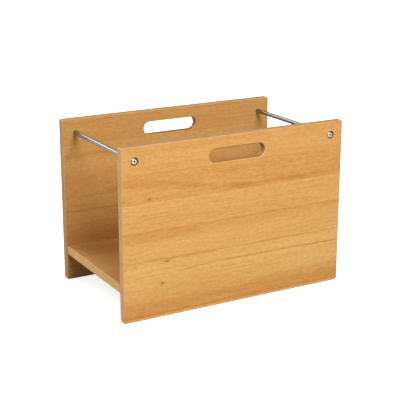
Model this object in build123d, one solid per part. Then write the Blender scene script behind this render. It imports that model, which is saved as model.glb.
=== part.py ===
from build123d import *
import os

# Magazine rack: two solid wood panels, a shelf between them and two steel tie rods.
#
# Millimetres, +Z up. X runs along the rack's width, the front panel faces -Y, and the
# origin is at the centre of the footprint on the floor.
#
# The panels stand on edge on the floor. The shelf is fixed between them with dowels and
# cam fittings that are hidden from outside. Each rod is held by a screw through either
# panel, whose head sits in a counterbore.

# overall
width = 440.0
depth = 260.0
height = 305.0

# panels
panel_thickness = 15.0
panel_corner_radius = 3.0
panel_edge_round = 1.8

# hand slot in each panel
slot_length = 111.0
slot_height = 24.0
slot_centre_below_top = 34.0
slot_edge_round = 2.2

# shelf
shelf_thickness = 16.0
shelf_underside_height = 50.0
shelf_end_inset = 2.5
shelf_edge_round = 0.8

# tie rods
rod_diameter = 8.0
rod_from_end = 25.0
rod_below_top = 25.0
rod_end_chamfer = 0.6
rod_thread_spare = 3.0

# rod screws, M5 with a cross-recessed pan head
screw_diameter = 5.0
screw_length = 25.0
screw_head_diameter = 11.0
screw_head_height = 3.9
screw_head_gap = 1.5
screw_head_below_face = 1.1
screw_crown_round = 2.2
screw_tip_chamfer = 0.7
screw_clearance = 0.25
recess_width = 1.5
recess_span = 5.8
recess_depth = 2.2
recess_taper = 9.0
counterbore_edge_break = 0.4

# cam fittings between the shelf and the panels
fitting_from_end = 45.0
cam_diameter = 15.0
cam_above_bolt = 4.4
cam_clearance = 0.1
cam_from_panel = 24.0
cam_rim_break = 0.4
cam_slot_width = 1.6
cam_slot_span = 10.0
cam_slot_depth = 2.4
cam_wall = 2.4
bolt_thread_diameter = 5.0
bolt_thread_length = 11.0
bolt_collar_diameter = 7.6
bolt_collar_length = 3.0
bolt_collar_clearance = 0.2
bolt_shank_diameter = 5.6
bolt_neck_diameter = 3.6
bolt_neck_past_cam = 1.0
bolt_head_diameter = 6.4
bolt_head_length = 3.0
fitting_play = 0.3

# dowels
dowel_from_end = 95.0
dowel_diameter = 8.0
dowel_length = 30.0
dowel_in_panel = 10.0
dowel_end_chamfer = 0.8
dowel_end_play = 1.0
flute_count = 14
flute_radius = 0.45

# places that follow from the sizes above
outer_face = depth / 2
inner_face = outer_face - panel_thickness
rod_x = width / 2 - rod_from_end
rod_z = height - rod_below_top
slot_z = height - slot_centre_below_top
shelf_top = shelf_underside_height + shelf_thickness
shelf_middle = shelf_underside_height + shelf_thickness / 2
fitting_x = width / 2 - fitting_from_end
dowel_x = width / 2 - dowel_from_end
cam_y = inner_face - cam_from_panel
cam_radius = cam_diameter / 2 - cam_clearance
cam_height = shelf_thickness / 2 + cam_above_bolt
counterbore_diameter = screw_head_diameter + 2 * screw_head_gap
counterbore_depth = screw_head_height + screw_head_below_face
screw_reach = screw_length - (panel_thickness - counterbore_depth)

sides = {"left": -1, "right": 1}
faces = {"front": -1, "back": 1}


def rod_along_y(radius, start, end):
    """A round bar along +Y from start to end, centred on X and Z."""
    bar = Cylinder(radius, end - start, align=(Align.CENTER, Align.CENTER, Align.MIN))
    return Pos(0, start, 0) * Rot(-90, 0, 0) * bar


def seen_from(face, shape):
    """Turns a shape that is built for the back panel to the named panel."""
    return shape if faces[face] > 0 else Rot(0, 0, 180) * shape


def stadium_hole():
    """The hand slot's cutter, with its long side along X."""
    outline = Plane.XZ * SlotOverall(slot_length, slot_height)
    cutter = extrude(outline, amount=depth, both=True)
    return Pos(0, 0, slot_z) * cutter


def board():
    """The bare panel, upright in its place at the back, with eased edges."""
    blank = Box(width, panel_thickness, height, align=(Align.CENTER, Align.CENTER, Align.MIN))
    blank = Pos(0, outer_face - panel_thickness / 2, 0) * blank
    blank = fillet(blank.edges().filter_by(Axis.Y), panel_corner_radius)
    rims = blank.faces().filter_by(Axis.Y).edges()
    blank = fillet(rims, min(panel_edge_round, panel_thickness / 4))
    blank -= stadium_hole()
    mouth = [
        edge
        for edge in blank.faces().filter_by(Axis.Y).edges()
        if abs(edge.center().X) <= slot_length / 2 and abs(edge.center().Z - slot_z) <= slot_height / 2
    ]
    return fillet(mouth, min(slot_edge_round, panel_thickness / 4))


def panel_cutters():
    """Every hole of one panel: two for the rod screws, and those for the shelf's fittings."""
    counterbore = rod_along_y(counterbore_diameter / 2, outer_face - counterbore_depth, outer_face + 1)
    rim = Cone(
        counterbore_diameter / 2,
        counterbore_diameter / 2 + counterbore_edge_break,
        counterbore_edge_break,
        align=(Align.CENTER, Align.CENTER, Align.MIN),
    )
    rim = Pos(0, outer_face - counterbore_edge_break, 0) * Rot(-90, 0, 0) * rim
    clearance = rod_along_y(screw_diameter / 2 + screw_clearance, inner_face - 1, outer_face)
    screw_hole = counterbore + rim + clearance
    bolt_hole = rod_along_y(bolt_thread_diameter / 2, inner_face - 1, inner_face + bolt_thread_length)
    dowel_hole = rod_along_y(dowel_diameter / 2, inner_face - 1, inner_face + dowel_in_panel)
    cutters = []
    for side in sides.values():
        cutters.append(Pos(side * rod_x, 0, rod_z) * screw_hole)
        cutters.append(Pos(side * fitting_x, 0, shelf_middle) * bolt_hole)
        cutters.append(Pos(side * dowel_x, 0, shelf_middle) * dowel_hole)
    return cutters


def panel(face):
    blank = board()
    for cutter in panel_cutters():
        blank -= cutter
    return seen_from(face, blank)


def shelf():
    """The bottom board, with bores in its long edges and cam pockets in its underside."""
    blank = Box(width - 2 * shelf_end_inset, 2 * inner_face, shelf_thickness)
    blank = Pos(0, 0, shelf_middle) * blank
    blank = fillet(blank.faces().filter_by(Axis.X).edges().filter_by(Axis.Y), shelf_edge_round)
    cam_pocket = Cylinder(cam_diameter / 2, cam_height, align=(Align.CENTER, Align.CENTER, Align.MIN))
    cam_pocket = Pos(0, cam_y, shelf_underside_height) * cam_pocket
    bolt_bore = rod_along_y(bolt_collar_diameter / 2 + bolt_collar_clearance, cam_y, inner_face + 1)
    bolt_bore = Pos(0, 0, shelf_middle) * bolt_bore
    dowel_start = inner_face - (dowel_length - dowel_in_panel) - dowel_end_play
    dowel_bore = Pos(0, 0, shelf_middle) * rod_along_y(dowel_diameter / 2, dowel_start, inner_face + 1)
    for face in faces:
        for side in sides.values():
            blank -= seen_from(face, Pos(side * fitting_x, 0, 0) * (cam_pocket + bolt_bore))
            blank -= seen_from(face, Pos(side * dowel_x, 0, 0) * dowel_bore)
    return blank


def tie_rod(side):
    """A plated steel rod between the panels, tapped at both ends."""
    bar = rod_along_y(rod_diameter / 2, -inner_face, inner_face)
    bar = chamfer(bar.edges().filter_by(GeomType.CIRCLE), rod_end_chamfer)
    for face in faces:
        bore_start = inner_face - screw_reach - rod_thread_spare
        bore = rod_along_y(screw_diameter / 2, bore_start, inner_face + 1)
        bar -= seen_from(face, bore)
    return Pos(side * rod_x, 0, rod_z) * bar


def rod_screw():
    """A screw along Y whose head rests on the counterbore's floor at the back."""
    seat = outer_face - counterbore_depth
    head = rod_along_y(screw_head_diameter / 2, seat, seat + screw_head_height)
    crown = head.edges().filter_by(GeomType.CIRCLE).sort_by(Axis.Y)[-1]
    head = fillet(crown, screw_crown_round)
    shank = rod_along_y(screw_diameter / 2, seat - screw_length, seat)
    tip = shank.edges().filter_by(GeomType.CIRCLE).sort_by(Axis.Y)[0]
    shank = chamfer(tip, screw_tip_chamfer)
    recess = cross(recess_width, recess_span, recess_depth, recess_taper)
    recess = Pos(0, seat + screw_head_height, 0) * Rot(90, 0, 0) * recess
    return head + shank - recess


def cross(slot_width, slot_span, slot_depth, taper=0.0):
    """A cross-shaped cutter that stands on the XY plane and narrows upwards by the taper."""
    arms = Sketch() + [Rot(0, 0, turn) * Rectangle(slot_span, slot_width) for turn in (0, 90)]
    return extrude(arms, amount=slot_depth, taper=taper)


def cam_bolt():
    """A turned bolt that screws into the panel and whose head the cam pulls on."""
    head_shoulder = cam_y + cam_radius - cam_wall
    neck_end = head_shoulder + cam_wall + bolt_neck_past_cam
    steps = [
        (bolt_head_diameter, head_shoulder - bolt_head_length, head_shoulder),
        (bolt_neck_diameter, head_shoulder, neck_end),
        (bolt_shank_diameter, neck_end, inner_face - bolt_collar_length),
        (bolt_collar_diameter, inner_face - bolt_collar_length, inner_face),
        (bolt_thread_diameter, inner_face, inner_face + bolt_thread_length),
    ]
    bolt = Part()
    for step_diameter, start, end in steps:
        bolt += rod_along_y(step_diameter / 2, start, end)
    return Pos(0, 0, shelf_middle) * bolt


def cam_lock():
    """A cam in the shelf's underside, slotted for the bolt's head and neck."""
    body = Cylinder(cam_radius, cam_height, align=(Align.CENTER, Align.CENTER, Align.MIN))
    body = chamfer(body.edges().filter_by(GeomType.CIRCLE), cam_rim_break)
    body -= cross(cam_slot_width, cam_slot_span, cam_slot_depth)
    body = Pos(0, cam_y, shelf_underside_height) * body
    head_room = bolt_head_diameter / 2 + fitting_play
    pocket_end = cam_y + cam_radius - cam_wall
    pocket_start = pocket_end - bolt_head_length - fitting_play
    pocket = rod_along_y(head_room, pocket_start, pocket_end)
    neck_room = rod_along_y(bolt_neck_diameter / 2 + fitting_play, pocket_start, cam_y + cam_diameter)
    return body - Pos(0, 0, shelf_middle) * (pocket + neck_room)


def dowel():
    """A fluted wooden dowel along Y, half in the panel and half in the shelf."""
    start = inner_face - (dowel_length - dowel_in_panel)
    end = inner_face + dowel_in_panel
    pin = rod_along_y(dowel_diameter / 2, start, end)
    pin = chamfer(pin.edges().filter_by(GeomType.CIRCLE), dowel_end_chamfer)
    flute = Pos(dowel_diameter / 2, 0, 0) * rod_along_y(flute_radius, start, end)
    for index in range(flute_count):
        pin -= Rot(0, index * 360 / flute_count, 0) * flute
    return Pos(0, 0, shelf_middle) * pin


def all_pieces():
    """Every piece of the rack in its place, by the name of its node."""
    pieces = {"shelf": shelf()}
    for face in faces:
        pieces[f"{face}_panel"] = panel(face)
    for side_name, side in sides.items():
        pieces[f"rod_{side_name}"] = tie_rod(side)
    for face in faces:
        for side_name, side in sides.items():
            local_side = side * faces[face]
            corner = f"{face}_{side_name}"
            screw = Pos(local_side * rod_x, 0, rod_z) * rod_screw()
            lock = Pos(local_side * fitting_x, 0, 0) * cam_lock()
            bolt = Pos(local_side * fitting_x, 0, 0) * cam_bolt()
            pin = Pos(local_side * dowel_x, 0, 0) * dowel()
            pieces[f"rod_screw_{corner}"] = seen_from(face, screw)
            pieces[f"cam_lock_{corner}"] = seen_from(face, lock)
            pieces[f"cam_bolt_{corner}"] = seen_from(face, bolt)
            pieces[f"dowel_{corner}"] = seen_from(face, pin)
    return pieces


os.makedirs("parts", exist_ok=True)
for node, piece in all_pieces().items():
    export_step(piece, f"parts/{node}.step")
    print(node, round(piece.volume, 1))
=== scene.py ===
import bpy
import bmesh
import math
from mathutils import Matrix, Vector


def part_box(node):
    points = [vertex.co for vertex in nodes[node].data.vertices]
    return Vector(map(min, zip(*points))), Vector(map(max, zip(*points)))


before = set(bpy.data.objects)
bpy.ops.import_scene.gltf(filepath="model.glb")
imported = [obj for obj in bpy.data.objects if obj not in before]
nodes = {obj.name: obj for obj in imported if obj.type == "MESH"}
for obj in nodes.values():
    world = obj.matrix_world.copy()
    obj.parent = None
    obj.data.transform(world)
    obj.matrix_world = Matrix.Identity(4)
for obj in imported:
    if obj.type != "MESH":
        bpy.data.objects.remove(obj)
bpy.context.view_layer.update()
print("frame loaded:", len(nodes), "nodes")

floatSocket, colourSocket, vectorSocket = "NodeSocketFloat", "NodeSocketColor", "NodeSocketVector"


def wire(tree, socket, value):
    # a socket takes either another node's output or a fixed value
    if isinstance(value, bpy.types.NodeSocket):
        tree.links.new(value, socket)
    else:
        socket.default_value = value


def addNode(tree, kind, inputs=None, **settings):
    node = tree.nodes.new(kind)
    for name, value in settings.items():
        setattr(node, name, value)
    for name, value in (inputs or {}).items():
        wire(tree, node.inputs[name], value)
    return node


def maths(tree, operation, first, second=0.0, clamp=False):
    node = addNode(tree, "ShaderNodeMath", {0: first, 1: second}, operation=operation, use_clamp=clamp)
    return node.outputs[0]


def add(tree, first, second):
    return maths(tree, "ADD", first, second)


def subtract(tree, first, second):
    return maths(tree, "SUBTRACT", first, second)


def multiply(tree, *factors):
    product = factors[0]
    for factor in factors[1:]:
        product = maths(tree, "MULTIPLY", product, factor)
    return product


def vectorMaths(tree, operation, first, second=(0.0, 0.0, 0.0)):
    node = addNode(tree, "ShaderNodeVectorMath", {0: first, 1: second}, operation=operation)
    return node.outputs[0]


def distance(tree, first, second):
    # straight-line distance, from its lengths along two axes
    return maths(tree, "SQRT", add(tree, multiply(tree, first, first), multiply(tree, second, second)))


def remap(tree, value, low, high, toLow=0.0, toHigh=1.0, smooth=False):
    node = addNode(
        tree, "ShaderNodeMapRange",
        {"Value": value, "From Min": low, "From Max": high, "To Min": toLow, "To Max": toHigh},
        interpolation_type="SMOOTHSTEP" if smooth else "LINEAR",
    )
    return node.outputs["Result"]


def sway(tree, value, amount):
    # turns a 0 to 1 pattern into a factor that swings about 1
    return add(tree, multiply(tree, subtract(tree, value, 0.5), amount), 1.0)


def mixColour(tree, mode, amount, first, second):
    node = addNode(tree, "ShaderNodeMix", data_type="RGBA", blend_type=mode)
    for index, value in ((0, amount), (6, first), (7, second)):
        wire(tree, node.inputs[index], value)
    return node.outputs[2]


def stretched(tree, vector, factors, turn=0.0):
    inputs = {"Vector": vector, "Scale": factors, "Rotation": (0.0, math.radians(turn), 0.0)}
    return addNode(tree, "ShaderNodeMapping", inputs).outputs[0]


def noiseAt(tree, vector, detail=2.0, roughness=0.5):
    inputs = {"Vector": vector, "Scale": 1.0, "Detail": detail, "Roughness": roughness}
    return addNode(tree, "ShaderNodeTexNoise", inputs).outputs["Fac"]


def split(tree, vector):
    return addNode(tree, "ShaderNodeSeparateXYZ", {0: vector}).outputs


def newGroup(name, inputs, outputs):
    tree = bpy.data.node_groups.new(name, "ShaderNodeTree")
    for label, kind, value in inputs:
        socket = tree.interface.new_socket(label, in_out="INPUT", socket_type=kind)
        if value is not None:
            socket.default_value = value
    for label, kind in outputs:
        tree.interface.new_socket(label, in_out="OUTPUT", socket_type=kind)
    return tree, tree.nodes.new("NodeGroupInput").outputs, tree.nodes.new("NodeGroupOutput").inputs


def useGroup(tree, group, inputs):
    return addNode(tree, "ShaderNodeGroup", inputs, node_tree=group).outputs


def makeStaveGroup():
    # splits a board into glued strips, each cut from another part of the tree
    tree, given, result = newGroup(
        "staveSplit",
        [("Vector", vectorSocket, None), ("Across", floatSocket, 0.0), ("Pitch", floatSocket, 0.05),
         ("First joint", floatSocket, 0.0), ("Seed", floatSocket, 0.0)],
        [("Vector", vectorSocket), ("Random", floatSocket), ("Middle", floatSocket),
         ("Joint", floatSocket)],
    )
    along = maths(tree, "DIVIDE", subtract(tree, given["Across"], given["First joint"]), given["Pitch"])
    key = add(tree, multiply(tree, maths(tree, "FLOOR", along), 7.31), given["Seed"])
    dice = addNode(tree, "ShaderNodeTexWhiteNoise", {"W": key}, noise_dimensions="1D")
    throw = vectorMaths(tree, "MULTIPLY", dice.outputs["Color"], (4.0, 3.0, 3.0))
    inside = subtract(tree, maths(tree, "FRACT", along), 0.5)
    edge = subtract(tree, 0.5, maths(tree, "ABSOLUTE", inside))
    wire(tree, result["Vector"], vectorMaths(tree, "ADD", given["Vector"], throw))
    wire(tree, result["Random"], dice.outputs["Value"])
    wire(tree, result["Middle"], multiply(tree, inside, given["Pitch"]))
    wire(tree, result["Joint"], remap(tree, edge, 0.0, 0.014, 1.0, 0.0, smooth=True))
    return tree


def makeGrainGroup():
    # grain along X: broad streaks, growth rings, curl, fibres and short dark pores
    tree, given, result = newGroup(
        "lengthGrain",
        [("Vector", vectorSocket, None), ("Depth", floatSocket, 0.0), ("Middle", floatSocket, 0.0),
         ("Random", floatSocket, 0.0), ("Ring gap", floatSocket, 0.003)],
        [("Streak", floatSocket), ("Ring", floatSocket), ("Curl", floatSocket), ("Fibre", floatSocket),
         ("Pore", floatSocket), ("Height", floatSocket)],
    )
    place = given["Vector"]
    broad = noiseAt(tree, stretched(tree, place, (3.0, 42.0, 48.0)), 3.0, 0.5)
    narrow = noiseAt(tree, stretched(tree, place, (9.0, 210.0, 230.0)), 3.0, 0.6)
    bend = subtract(tree, noiseAt(tree, stretched(tree, place, (3.2, 14.0, 14.0))), 0.5)
    pithDepth = remap(tree, given["Random"], 0.0, 1.0, 0.022, 0.060)
    pithSide = remap(tree, given["Random"], 0.0, 1.0, -0.030, 0.030)
    down = add(tree, given["Depth"], pithDepth)
    side = add(tree, subtract(tree, given["Middle"], pithSide), multiply(tree, bend, 0.034))
    radius = distance(tree, down, side)
    rough = noiseAt(tree, stretched(tree, place, (12.0, 300.0, 300.0)))
    turns = add(tree, maths(tree, "DIVIDE", radius, given["Ring gap"]), multiply(tree, rough, 0.8))
    phase = maths(tree, "FRACT", turns)
    darkening = remap(tree, phase, 0.4, 0.92, smooth=True)
    ring = multiply(tree, darkening, remap(tree, phase, 0.94, 1.0, 1.0, 0.0))
    curl = noiseAt(tree, stretched(tree, place, (150.0, 270.0, 270.0), 20.0), 2.0, 0.6)
    fine = noiseAt(tree, stretched(tree, place, (38.0, 1500.0, 1500.0)), 3.0, 0.6)
    coarse = noiseAt(tree, stretched(tree, place, (75.0, 520.0, 520.0), 4.0), 2.0, 0.6)
    fibre = add(tree, multiply(tree, fine, 0.45), multiply(tree, coarse, 0.55))
    cells = addNode(tree, "ShaderNodeTexVoronoi",
                    {"Vector": stretched(tree, place, (230.0, 1100.0, 1100.0)), "Scale": 1.0})
    chosen = remap(tree, split(tree, cells.outputs["Color"])[0], 0.6, 0.68)
    pore = multiply(tree, remap(tree, cells.outputs["Distance"], 0.08, 0.36, 1.0, 0.0, smooth=True), chosen)
    wire(tree, result["Streak"], add(tree, multiply(tree, broad, 0.6), multiply(tree, narrow, 0.4)))
    wire(tree, result["Ring"], ring)
    wire(tree, result["Curl"], curl)
    wire(tree, result["Fibre"], fibre)
    wire(tree, result["Pore"], pore)
    wire(tree, result["Height"], subtract(tree, fibre, multiply(tree, pore, 0.6)))
    return tree


def makeTintGroup():
    # a darker patch of wood is also a redder one, so green and blue fall faster than red
    tree, given, result = newGroup("woodTint", [("Shade", floatSocket, 1.0)], [("Colour", colourSocket)])
    greenPower, bluePower = 2.1, 3.3
    shade = given["Shade"]
    green, blue = maths(tree, "POWER", shade, greenPower), maths(tree, "POWER", shade, bluePower)
    tint = addNode(tree, "ShaderNodeCombineColor", {"Red": shade, "Green": green, "Blue": blue})
    wire(tree, result["Colour"], tint.outputs[0])
    return tree


def makeKnotGroup():
    # a small knot: a dark core, and a soft halo where the grain closes round it
    tree, given, result = newGroup(
        "pinKnot",
        [("Along", floatSocket, 0.0), ("Across", floatSocket, 0.0), ("Place along", floatSocket, 0.0),
         ("Place across", floatSocket, 0.0), ("Length", floatSocket, 0.005), ("Width", floatSocket, 0.0025),
         ("Ragged", floatSocket, 0.5)],
        [("Core", floatSocket), ("Halo", floatSocket)],
    )
    along = maths(tree, "DIVIDE", subtract(tree, given["Along"], given["Place along"]), given["Length"])
    across = maths(tree, "DIVIDE", subtract(tree, given["Across"], given["Place across"]), given["Width"])
    outline = multiply(tree, subtract(tree, given["Ragged"], 0.5), 0.8)
    reach = add(tree, distance(tree, along, across), outline)
    wire(tree, result["Core"], remap(tree, reach, 0.1, 0.7, 1.0, 0.0, smooth=True))
    wire(tree, result["Halo"], remap(tree, reach, 0.3, 2.4, 1.0, 0.0, smooth=True))
    return tree


def makeVeinGroup():
    # a darker line or band that wavers along the grain from one end to the other
    tree, given, result = newGroup(
        "darkVein",
        [("Vector", vectorSocket, None), ("Along", floatSocket, 0.0), ("Across", floatSocket, 0.0),
         ("Start along", floatSocket, 0.0), ("Start across", floatSocket, 0.0),
         ("End along", floatSocket, 0.0), ("End across", floatSocket, 0.0),
         ("Thickness", floatSocket, 0.001), ("Fade", floatSocket, 0.03)],
        [("Vein", floatSocket)],
    )
    place = given["Vector"]
    done = remap(tree, given["Along"], given["Start along"], given["End along"])
    rise = multiply(tree, done, subtract(tree, given["End across"], given["Start across"]))
    waver = subtract(tree, noiseAt(tree, stretched(tree, place, (16.0, 0.0, 0.0)), 4.0, 0.6), 0.5)
    line = add(tree, add(tree, given["Start across"], rise), multiply(tree, waver, 0.006))
    apart = maths(tree, "ABSOLUTE", subtract(tree, given["Across"], line))
    ragged = sway(tree, noiseAt(tree, stretched(tree, place, (60.0, 500.0, 500.0)), 2.0), 1.1)
    core = remap(tree, maths(tree, "DIVIDE", multiply(tree, apart, ragged), given["Thickness"]),
                 0.0, 1.0, 1.0, 0.0, smooth=True)
    past = subtract(tree, given["Along"], given["Start along"])
    left = subtract(tree, given["End along"], given["Along"])
    fadeIn = remap(tree, maths(tree, "DIVIDE", past, given["Fade"]), 0.0, 1.0, smooth=True)
    fadeOut = remap(tree, maths(tree, "DIVIDE", left, given["Fade"]), 0.0, 1.0, smooth=True)
    broken = remap(tree, noiseAt(tree, stretched(tree, place, (30.0, 120.0, 120.0))), 0.3, 0.6, 0.35, 1.0)
    wire(tree, result["Vein"], multiply(tree, core, broken, fadeIn, fadeOut))
    return tree


def makeArrisGroup():
    # Edge is 1 on the rounded edges of a box-shaped board, Inside is 1 on the walls of its holes
    tree, given, result = newGroup(
        "easedEdge",
        [("Vector", vectorSocket, None), ("Centre", vectorSocket, None), ("Half size", vectorSocket, None),
         ("Reach", floatSocket, 0.002)],
        [("Edge", floatSocket), ("Inside", floatSocket)],
    )
    offset = vectorMaths(tree, "SUBTRACT", given["Vector"], given["Centre"])
    left = vectorMaths(tree, "SUBTRACT", given["Half size"], vectorMaths(tree, "ABSOLUTE", offset))
    shares = [maths(tree, "DIVIDE", part, given["Reach"]) for part in split(tree, left)]
    near = [remap(tree, share, 0.0, 1.0, 1.0, 0.0) for share in shares]
    pairs = [multiply(tree, near[first], near[second]) for first, second in ((0, 1), (1, 2), (0, 2))]
    total = maths(tree, "ADD", pairs[0], add(tree, pairs[1], pairs[2]), clamp=True)
    least = maths(tree, "MINIMUM", shares[0], maths(tree, "MINIMUM", shares[1], shares[2]))
    wire(tree, result["Edge"], remap(tree, total, 0.02, 0.4, smooth=True))
    wire(tree, result["Inside"], remap(tree, least, 0.3, 1.1, smooth=True))
    return tree


def makeWearGroup():
    # fine drawn lines and a cloudy film on plated metal
    tree, given, result = newGroup(
        "platedWear",
        [("Drawn", vectorSocket, None), ("Vector", vectorSocket, None), ("Base", floatSocket, 0.3),
         ("Spread", floatSocket, 0.1)],
        [("Roughness", floatSocket), ("Film", floatSocket), ("Height", floatSocket)],
    )
    lines = noiseAt(tree, given["Drawn"], 3.0, 0.65)
    film = noiseAt(tree, stretched(tree, given["Vector"], (60.0, 60.0, 60.0)), 4.0, 0.6)
    both = add(tree, multiply(tree, lines, 0.6), multiply(tree, film, 0.4))
    spread = multiply(tree, subtract(tree, both, 0.5), given["Spread"])
    wire(tree, result["Roughness"], maths(tree, "ADD", given["Base"], spread, clamp=True))
    wire(tree, result["Film"], film)
    wire(tree, result["Height"], lines)
    return tree


staveGroup = makeStaveGroup()
grainGroup = makeGrainGroup()
tintGroup = makeTintGroup()
knotGroup = makeKnotGroup()
veinGroup = makeVeinGroup()
arrisGroup = makeArrisGroup()
wearGroup = makeWearGroup()
print("node groups ready")


def newMaterial(name):
    material = bpy.data.materials.new(name)
    material.use_nodes = True
    tree = material.node_tree
    return material, tree, tree.nodes["Principled BSDF"]


def dress(name, material):
    mesh = nodes[name].data
    mesh.materials.clear()
    mesh.materials.append(material)


def lighten(colour, factor):
    return [part * factor for part in colour[:3]] + [1.0]


def roughen(tree, shader, strength, depth, height):
    inputs = {"Strength": strength, "Distance": depth, "Height": height}
    wire(tree, shader.inputs["Normal"], addNode(tree, "ShaderNodeBump", inputs).outputs["Normal"])


# oiled hardwood, glued up from narrow strips
wood = {
    "face": (0.772, 0.456, 0.160, 1.0),
    "edge": (0.48, 0.315, 0.148, 1.0),  # the narrow long edges: painted shade, a darker and duller colour for how these upward-facing edges take the light
    "end": (0.635, 0.395, 0.172, 1.0),  # end grain
    "arris": (0.50, 0.355, 0.195, 1.0),  # rubbed edges
    "knot": (0.38, 0.115, 0.024, 1.0),
    "hole": (0.56, 0.47, 0.39, 1.0),  # multiplies the walls of slots and bores: painted shade in these hollows, partly the darker raw end grain of the cut
    "stripWidth": 0.050,
    "ringGap": 0.0030,
    "streaks": 0.28,  # how far each pattern lightens or darkens the wood
    "rings": 0.035,
    "curls": 0.24,
    "fibres": 0.34,
    "pores": 0.10,
    "joints": 0.07,
    "endPores": 0.30,
    "knotHalo": 0.16,
    "plainTones": (0.88, 0.96),  # darkest and palest strip of a board that has no tones of its own
    "easedReach": 0.0022,  # how far the rubbed edge goes on to the faces
    "rubbed": (0.2, 0.5),  # how much of the rubbed colour shows, least and most
    "roughness": 0.46,
    "fibreRoughness": 0.25,
    "endRoughness": 0.2,
    "specular": 0.32,
    "bump": 0.25,
    "grainDepth": 0.0002,
}


def stripTones(tree, across, height, tonesAndShade):
    # tone of the face by height, with a step at each glue line; a list may also carry painted shade
    band = addNode(tree, "ShaderNodeValToRGB", {"Fac": maths(tree, "DIVIDE", across, height)})
    stops = band.color_ramp.elements
    lowest, highest = tonesAndShade[0][1], tonesAndShade[-1][1]
    stops[0].color = (lowest, lowest, lowest, 1.0)
    stops[1].color = (highest, highest, highest, 1.0)
    for level, tone in tonesAndShade[1:-1]:
        stops.new(level / 1000 / height).color = (tone, tone, tone, 1.0)
    return band.outputs["Color"]


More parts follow.
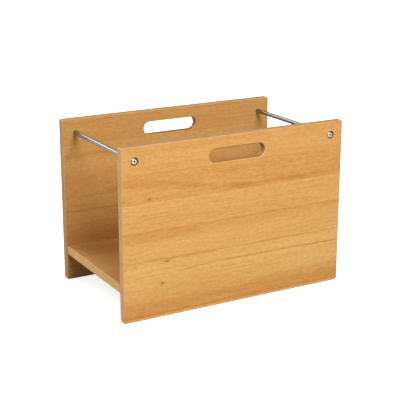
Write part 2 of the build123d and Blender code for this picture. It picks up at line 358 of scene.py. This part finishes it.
def boardMaterial(name, board, acrossAxis):
    # the strips stand across Z in a panel and across Y in the shelf
    material, tree, shader = newMaterial(name)
    low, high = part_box(board["node"])
    centre, half = (low + high) / 2, (high - low) / 2
    place = addNode(tree, "ShaderNodeTexCoord").outputs["Object"]
    parts = split(tree, place)
    throughAxis = 3 - acrossAxis
    along, across = parts[0], parts[acrossAxis]
    depth = subtract(tree, parts[throughAxis], centre[throughAxis])
    strip = useGroup(tree, staveGroup, {
        "Vector": place, "Across": across, "Pitch": wood["stripWidth"],
        "First joint": low[acrossAxis] + board["firstJoint"], "Seed": board["seed"],
    })
    grain = useGroup(tree, grainGroup, {
        "Vector": strip["Vector"], "Depth": depth, "Middle": strip["Middle"], "Random": strip["Random"],
        "Ring gap": wood["ringGap"],
    })
    streakShade = sway(tree, grain["Streak"], wood["streaks"])
    ringShade = remap(tree, grain["Ring"], 0.0, 1.0, 1.0, 1.0 - wood["rings"])
    curlShade = sway(tree, grain["Curl"], wood["curls"])
    fibreShade = sway(tree, grain["Fibre"], wood["fibres"])
    poreShade = remap(tree, grain["Pore"], 0.0, 1.0, 1.0, 1.0 - wood["pores"])
    jointShade = remap(tree, strip["Joint"], 0.0, 1.0, 1.0, 1.0 - wood["joints"])
    if "tonesAndShade" in board:
        toneShade = stripTones(tree, across, high[acrossAxis], board["tonesAndShade"])
    else:
        toneShade = remap(tree, strip["Random"], 0.0, 1.0, *wood["plainTones"])
    shade = multiply(tree, toneShade, streakShade, ringShade, curlShade, fibreShade, poreShade)
    shade = multiply(tree, shade, jointShade)
    for start, finish, thickness, strength in board["veins"]:
        vein = useGroup(tree, veinGroup, {
            "Vector": place, "Along": along, "Across": across,
            "Start along": start[0] / 1000, "Start across": start[1] / 1000,
            "End along": finish[0] / 1000, "End across": finish[1] / 1000, "Thickness": thickness / 1000,
        })
        shade = multiply(tree, shade, remap(tree, vein["Vein"], 0.0, 1.0, 1.0, 1.0 - strength))
    tint = useGroup(tree, tintGroup, {"Shade": shade})["Colour"]
    # faces, long edges and end grain are told apart by which way they look
    facing = split(tree, addNode(tree, "ShaderNodeNewGeometry").outputs["Normal"])
    eased = useGroup(tree, arrisGroup, {
        "Vector": place, "Centre": centre, "Half size": half, "Reach": wood["easedReach"],
    })
    # the long edges get the edge colour, which is painted shade
    edgeShadeMask = remap(tree, maths(tree, "ABSOLUTE", facing[acrossAxis]), 0.5, 0.95, smooth=True)
    edgeShadeMask = multiply(tree, edgeShadeMask, subtract(tree, 1.0, eased["Inside"]))
    endMask = remap(tree, maths(tree, "ABSOLUTE", facing[0]), 0.55, 0.9, smooth=True)
    faceColour = lighten(wood["face"], board["paintedShadeFactor"])
    colour = mixColour(tree, "MIX", edgeShadeMask, faceColour, wood["edge"])
    colour = mixColour(tree, "MULTIPLY", 1.0, colour, tint)
    ragged = noiseAt(tree, stretched(tree, place, (700.0, 900.0, 900.0)))
    for x, height, length, width, strength in board["knots"]:
        knot = useGroup(tree, knotGroup, {
            "Along": along, "Across": across, "Place along": x / 1000, "Place across": height / 1000,
            "Length": length / 1000, "Width": width / 1000, "Ragged": ragged,
        })
        for part, amount in (("Halo", strength * wood["knotHalo"]), ("Core", strength)):
            colour = mixColour(tree, "MIX", multiply(tree, knot[part], amount), colour, wood["knot"])
    endPores = noiseAt(tree, stretched(tree, place, (1500.0, 1500.0, 1500.0)), 2.0, 0.7)
    endPoreShade = sway(tree, endPores, wood["endPores"])
    endShade = multiply(tree, endPoreShade, streakShade, ringShade, ringShade, jointShade)
    endTint = useGroup(tree, tintGroup, {"Shade": endShade})["Colour"]
    endColour = mixColour(tree, "MULTIPLY", 1.0, lighten(wood["end"], board["endToneAndShade"]), endTint)
    colour = mixColour(tree, "MIX", endMask, colour, endColour)
    # the walls of slots and bores are darkened: painted shade in the hollows, partly the darker raw end
    # grain
    colour = mixColour(tree, "MULTIPLY", eased["Inside"], colour, wood["hole"])
    cloud = noiseAt(tree, stretched(tree, place, (60.0, 60.0, 60.0)), 3.0)
    rubbed = multiply(tree, eased["Edge"], remap(tree, cloud, 0.35, 0.65, *wood["rubbed"]))
    colour = mixColour(tree, "MIX", rubbed, colour, wood["arris"])
    roughness = multiply(tree, subtract(tree, grain["Fibre"], 0.5), wood["fibreRoughness"])
    roughness = add(tree, roughness, wood["roughness"])
    roughness = add(tree, roughness, multiply(tree, endMask, wood["endRoughness"]))
    wire(tree, shader.inputs["Base Color"], colour)
    wire(tree, shader.inputs["Roughness"], roughness)
    roughen(tree, shader, wood["bump"], wood["grainDepth"], grain["Height"])
    shader.inputs["Specular IOR Level"].default_value = wood["specular"]
    return material


frontPanel = {
    "node": "front_panel",
    "seed": 3.0,
    "paintedShadeFactor": 1.0,
    "endToneAndShade": 1.08,
    "firstJoint": 0.0068,  # height of the lowest glue line above the floor
    "tonesAndShade": [  # (height in mm, tone)
        # from 57 mm down to 7 mm the tone darkens towards the floor: painted shade, as the light falls from
        # above; the steps at the glue lines are the strips' own tones
        (0, 0.98), (4.6, 0.96), (5.6, 0.78), (7.0, 0.79), (12, 0.835), (25, 0.865), (40, 0.93),
        (56.6, 0.97), (57.0, 0.985), (80, 1.0), (106.6, 0.99), (107.0, 0.955), (130, 0.95), (145, 0.935),
        (156.6, 0.915), (157.0, 0.935), (180, 0.94), (206.6, 0.92), (207.0, 0.875), (240, 0.88),
        (256.6, 0.89), (257.0, 0.905), (305, 0.91),
    ],
    "knots": [  # (x, height, length, width) in mm, strength
        (-169, 213, 4.8, 3.2, 1.0), (-137, 99.5, 8.0, 2.7, 1.0), (-147, 61.5, 7.4, 2.7, 1.0),
        (-197, 96.5, 4.4, 3.0, 0.40),
    ],
    "veins": [  # (start x, height), (end x, height), thickness in mm, strength
        ((-235, 104.5), (235, 103.0), 2.6, 0.17),
        ((-235, 77.5), (-110, 77.0), 2.2, 0.10),
        ((-135, 78.0), (-20, 83.0), 2.2, 0.22),
        ((-45, 83.0), (235, 80.0), 2.2, 0.25),
        ((-225, 243.0), (-60, 224.0), 13.0, 0.08),
        ((-110, 228.0), (40, 211.0), 8.0, 0.09),
        ((-30, 213.0), (200, 212.5), 7.0, 0.11),
        ((60, 217.0), (235, 226.0), 9.0, 0.05),
        ((-235, 155.5), (235, 156.0), 3.6, 0.07),
        ((-235, 145.0), (-50, 149.0), 15.0, 0.07),
        ((-235, 22.0), (235, 19.0), 12.0, 0.04),
        ((5, 299.0), (75, 301.0), 7.0, 0.07),
    ],
}
dress("front_panel", boardMaterial("frontPanelWood", frontPanel, 2))

backPanel = {
    "node": "back_panel",
    "seed": 11.0,
    # the whole back panel, face and end grain, is darkened: painted shade for the lower light that reaches
    # this inner board
    "paintedShadeFactor": 0.74,
    "endToneAndShade": 0.73,
    "firstJoint": 0.0068,
    "tonesAndShade": [
        (0, 0.88), (6.6, 0.88), (7.0, 0.94), (56.6, 0.92), (57.0, 0.89), (106.6, 0.92), (107.0, 0.95),
        (156.6, 0.94), (157.0, 0.90), (206.6, 0.93), (207.0, 0.945), (256.6, 0.93), (257.0, 0.91),
        (305, 0.93),
    ],
    "knots": [(118, 231, 3.6, 2.0, 0.8), (62, 139, 4.2, 2.0, 0.7), (-88, 42, 3.4, 1.8, 0.75)],
    "veins": [
        ((-235, 131.0), (120, 128.0), 2.0, 0.16),
        ((-60, 186.0), (235, 181.0), 2.2, 0.12),
        ((-235, 236.0), (235, 240.0), 9.0, 0.06),
    ],
}
dress("back_panel", boardMaterial("backPanelWood", backPanel, 2))

shelfBoard = {
    "node": "shelf",
    "seed": 23.0,
    # the whole shelf face is darkened: painted shade for the shade it lies in between the panels
    "paintedShadeFactor": 0.76,
    "endToneAndShade": 1.18,
    "firstJoint": 0.0150,
    "knots": [(-60, 46, 3.8, 2.0, 0.75), (96, -71, 3.6, 1.9, 0.75)],
    "veins": [((-235, -22.0), (180, -18.0), 2.0, 0.15), ((-120, 71.0), (235, 66.0), 7.0, 0.07)],
}
dress("shelf", boardMaterial("shelfWood", shelfBoard, 1))
print("boards ready")

dowels = {
    "colour": (0.60, 0.40, 0.20, 1.0),
    "grain": (600.0, 30.0, 600.0),  # fibres run along Y
    "grainTint": 0.4,
    "roughness": 0.6,
    "bump": 0.2,
    "grainDepth": 0.0001,
}


def dowelMaterial():
    material, tree, shader = newMaterial("dowelBeech")
    place = addNode(tree, "ShaderNodeTexCoord").outputs["Object"]
    fibre = noiseAt(tree, stretched(tree, place, dowels["grain"]), 3.0, 0.6)
    tint = useGroup(tree, tintGroup, {"Shade": sway(tree, fibre, dowels["grainTint"])})["Colour"]
    wire(tree, shader.inputs["Base Color"], mixColour(tree, "MULTIPLY", 1.0, dowels["colour"], tint))
    roughen(tree, shader, dowels["bump"], dowels["grainDepth"], fibre)
    shader.inputs["Roughness"].default_value = dowels["roughness"]
    return material


drawDepth = 0.0001  # of the fine lines on every metal


def recessMask(tree, place, recess):
    # 1 inside the screws' cross recess, which is painted dark as painted shade; signs are dropped because
    # the four screws mirror each other
    low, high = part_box("rod_screw_front_left")
    axis = (low + high) / 2
    size = split(tree, vectorMaths(tree, "ABSOLUTE", place))
    radius = distance(tree, subtract(tree, size[0], abs(axis[0])), subtract(tree, size[2], axis[2]))
    depth = subtract(tree, abs(low[1]), size[1])
    within = remap(tree, radius, recess["radius"], recess["radius"] + recess["blur"], 1.0, 0.0)
    sunk = remap(tree, depth, recess["darkFrom"], recess["darkAt"])
    return multiply(tree, within, sunk, recess["strength"])


def metalMaterial(name, metal):
    material, tree, shader = newMaterial(name)
    place = addNode(tree, "ShaderNodeTexCoord").outputs["Object"]
    wear = useGroup(tree, wearGroup, {
        "Drawn": stretched(tree, place, metal["drawn"]), "Vector": place,
        "Base": metal["roughness"], "Spread": metal["spread"],
    })
    tint = mixColour(tree, "MIX", remap(tree, wear["Film"], 0.35, 0.7), metal["colour"], metal["dull"])
    if "recess" in metal:
        recess = metal["recess"]
        # painted shade in the cross recess of the screw heads
        tint = mixColour(tree, "MIX", recessMask(tree, place, recess), tint, recess["colour"])
    wire(tree, shader.inputs["Base Color"], tint)
    wire(tree, shader.inputs["Roughness"], wear["Roughness"])
    roughen(tree, shader, metal["bump"], drawDepth, wear["Height"])
    shader.inputs["Metallic"].default_value = 1.0
    return material


tieRods = {
    "colour": (0.27, 0.29, 0.265, 1.0),
    "dull": (0.245, 0.26, 0.24, 1.0),
    "drawn": (420.0, 16.0, 420.0),  # the draw lines run along Y
    "roughness": 0.42,
    "spread": 0.08,
    "bump": 0.008,
}
rodScrews = {
    "colour": (0.76, 0.75, 0.72, 1.0),
    "dull": (0.62, 0.61, 0.57, 1.0),
    "drawn": (700.0, 700.0, 700.0),
    "roughness": 0.22,
    "spread": 0.15,
    "bump": 0.03,
    # the cross recess of the screw heads is painted near-black: painted shade in the recess
    "recess": {
        "colour": (0.07, 0.07, 0.06, 1.0),
        "radius": 0.0032,
        "blur": 0.0003,
        "darkFrom": 0.0002,  # depths below the top of the head
        "darkAt": 0.0010,
        "strength": 0.85,
    },
}
camLocks = {
    "colour": (0.50, 0.50, 0.49, 1.0),
    "dull": (0.38, 0.38, 0.37, 1.0),
    "drawn": (500.0, 500.0, 500.0),
    "roughness": 0.42,
    "spread": 0.2,
    "bump": 0.2,
}
camBolts = {
    "colour": (0.66, 0.62, 0.52, 1.0),
    "dull": (0.54, 0.50, 0.41, 1.0),
    "drawn": (600.0, 300.0, 600.0),
    "roughness": 0.3,
    "spread": 0.2,
    "bump": 0.1,
}
rodNickel = metalMaterial("rodNickel", tieRods)
fittings = {
    "rod_left": rodNickel,
    "rod_right": rodNickel,
    "rod_screw": metalMaterial("screwNickel", rodScrews),
    "cam_lock": metalMaterial("camZinc", camLocks),
    "cam_bolt": metalMaterial("boltZinc", camBolts),
    "dowel": dowelMaterial(),
}
for name in nodes:
    for start, material in fittings.items():
        if name.startswith(start):
            dress(name, material)
print("fittings ready")

studio = {
    "skyLight": (0.35, 0.32, 0.28, 1.0),
    "backdrop": (1.0, 1.0, 1.0, 1.0),  # how the sky looks behind the floor
    "floorSize": 30.0,
    "floorColour": (0.90, 0.90, 0.90, 1.0),
    "floorBounce": (0.15, 0.12, 0.09, 1.0),  # what the floor throws back on to the object
    "floorGlow": 0.73,
    "floorRoughness": 0.9,
}


def makeStudio():
    world = bpy.data.worlds.new("studioSky")
    world.use_nodes = True
    tree = world.node_tree
    seen = addNode(tree, "ShaderNodeLightPath").outputs["Is Camera Ray"]
    colour = mixColour(tree, "MIX", seen, studio["skyLight"], studio["backdrop"])
    wire(tree, tree.nodes["Background"].inputs["Color"], colour)
    bpy.context.scene.world = world
    mesh = bpy.data.meshes.new("floor")
    sheet = bmesh.new()
    bmesh.ops.create_grid(sheet, x_segments=1, y_segments=1, size=studio["floorSize"])
    sheet.to_mesh(mesh)
    sheet.free()
    floor = bpy.data.objects.new("floor", mesh)
    bpy.context.scene.collection.objects.link(floor)
    material, tree, shader = newMaterial("paleFloor")
    rays = addNode(tree, "ShaderNodeLightPath").outputs
    colour = mixColour(tree, "MIX", rays["Is Diffuse Ray"], studio["floorColour"], studio["floorBounce"])
    wire(tree, shader.inputs["Base Color"], colour)
    glow = multiply(tree, rays["Is Camera Ray"], studio["floorGlow"])
    wire(tree, shader.inputs["Emission Strength"], glow)
    shader.inputs["Emission Color"].default_value = studio["backdrop"]
    shader.inputs["Roughness"].default_value = studio["floorRoughness"]
    shader.inputs["Specular IOR Level"].default_value = 0.0
    # the floor can't be seen from below, so that the underside can be looked at
    fromBelow = addNode(tree, "ShaderNodeNewGeometry").outputs["Backfacing"]
    clear = tree.nodes.new("ShaderNodeBsdfTransparent").outputs[0]
    both = addNode(tree, "ShaderNodeMixShader", {0: fromBelow, 1: shader.outputs[0], 2: clear})
    wire(tree, tree.nodes["Material Output"].inputs["Surface"], both.outputs[0])
    mesh.materials.append(material)


makeStudio()
print("floor and sky ready")

lamps = [  # name, place, size, power, colour; each looks at the middle of the rack
    ("keyLight", (-0.10, -1.98, 1.72), 1.2, 56.5, (1.0, 0.985, 0.96)),
    ("leftLight", (-2.3, -0.3, 0.75), 1.2, 18.0, (1.0, 0.97, 0.94)),
    ("rightLight", (2.3, 0.2, 0.8), 1.4, 12.0, (1.0, 0.97, 0.93)),
    ("backLight", (-1.0, 2.2, 1.9), 1.4, 30.0, (1.0, 1.0, 1.0)),
    ("rearLight", (-0.4, 2.5, 0.45), 1.4, 20.0, (1.0, 0.98, 0.95)),
]
aim = Vector((0.0, 0.0, 0.15))

for name, place, size, power, colour in lamps:
    light = bpy.data.lights.new(name, "AREA")
    light.shape = "DISK"
    light.size = size
    light.energy = power
    light.color = colour
    lamp = bpy.data.objects.new(name, light)
    bpy.context.scene.collection.objects.link(lamp)
    lamp.location = place
    lamp.rotation_euler = (aim - Vector(place)).to_track_quat("-Z", "Y").to_euler()
print("lights ready")

cameraSet = {
    "place": (-0.924, -1.637, 0.713),
    "heading": 29.43,  # degrees to the right of +Y
    "tilt": 16.58,  # degrees below the horizon
    "lens": 95.94,
}
lens = bpy.data.cameras.new("camera")
lens.lens = cameraSet["lens"]
lens.sensor_width = 36.0
camera = bpy.data.objects.new("camera", lens)
bpy.context.scene.collection.objects.link(camera)
heading, tilt = math.radians(cameraSet["heading"]), math.radians(cameraSet["tilt"])
look = Vector((math.sin(heading) * math.cos(tilt), math.cos(heading) * math.cos(tilt), -math.sin(tilt)))
camera.location = cameraSet["place"]
camera.rotation_euler = look.to_track_quat("-Z", "Y").to_euler()
bpy.context.scene.camera = camera
bpy.context.scene.view_settings.view_transform = "Standard"
print("camera ready")
